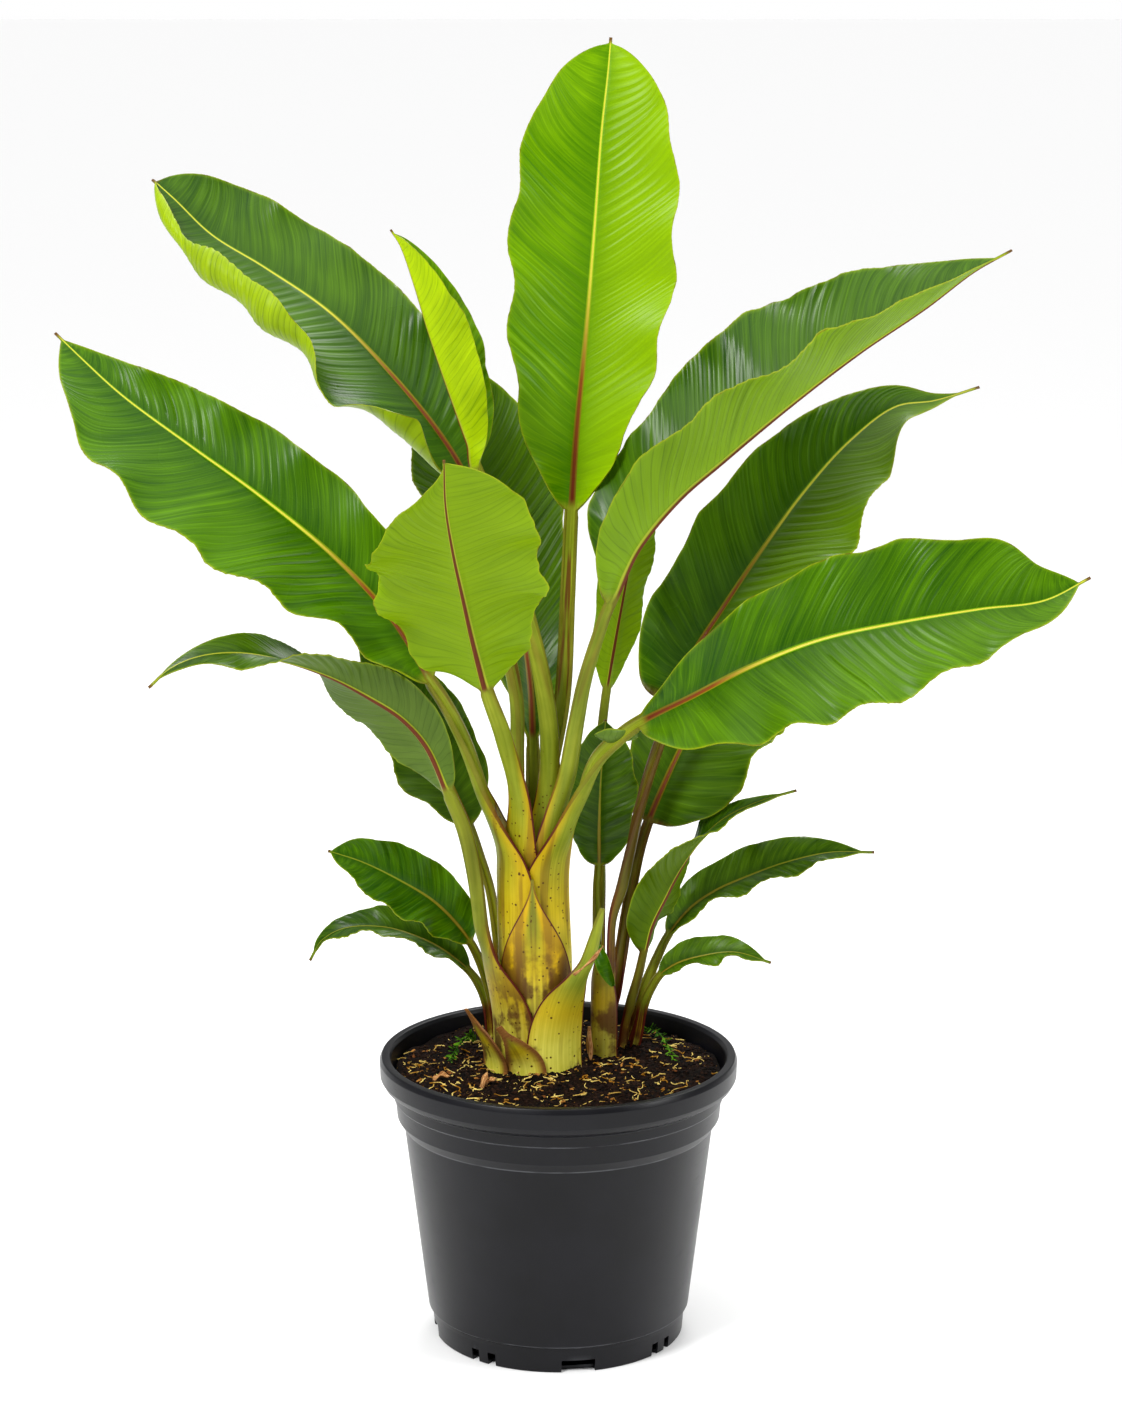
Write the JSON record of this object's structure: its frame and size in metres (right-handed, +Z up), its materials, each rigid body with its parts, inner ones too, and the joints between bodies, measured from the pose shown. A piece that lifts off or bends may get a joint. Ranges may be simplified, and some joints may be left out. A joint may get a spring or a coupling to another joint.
{
  "type": "potted banana plant",
  "caption": "Young banana plant with broad waved leaves on nested sheaths, rooted in soil in a round black nursery pot.",
  "frame": {"origin": "centre of the pot's underside, on the surface that the pot stands on", "axes": "+Z straight up, +X to the right and +Y to the back as the picture looks at the plant"},
  "size_m": [0.7725, 0.3485, 1.0011],
  "materials": {
    "pot": "moulded charcoal plastic, satin",
    "soil": "dark bark and peat mix, matt and crumbly",
    "leaf_fresh": "young leaf, waxy yellow-green",
    "leaf_mid": "grown leaf, waxy mid green",
    "leaf_dark": "grown leaf, waxy deep green",
    "leaf_pale": "leaf underside, matt pale green",
    "stem_sheath": "smooth sheath, green to deep yellow",
    "dried_sheath": "withered sheath, papery brown and cream"
  },
  "bodies": {
    "root": {"pot": "pot", "soil": "soil", "scale_left": "dried_sheath", "scale_front": "dried_sheath", "sheath_front_right": "stem_sheath", "leaf_left_droop": "leaf_dark", "sheath_front_old": "stem_sheath", "leaf_left": "leaf_mid", "leaf_right_low": "leaf_mid", "leaf_front_round": "leaf_pale", "leaf_right_high": "leaf_dark", "leaf_unfurling": "leaf_fresh", "leaf_back": "leaf_dark", "leaf_upper_left": "leaf_dark", "leaf_upright": "leaf_fresh", "sucker_sheath": "stem_sheath", "leaf_right_middle": "leaf_dark", "leaf_right_behind": "leaf_dark", "leaf_small_ovate": "leaf_dark", "leaf_pale_behind": "leaf_pale", "leaf_small_curled": "leaf_pale", "leaf_small_right": "leaf_dark", "leaf_small_lowest": "leaf_dark", "leaf_left_behind": "leaf_dark", "leaf_left_lower": "leaf_mid", "leaf_left_lowest": "leaf_dark"}
  },
  "joints": []
}
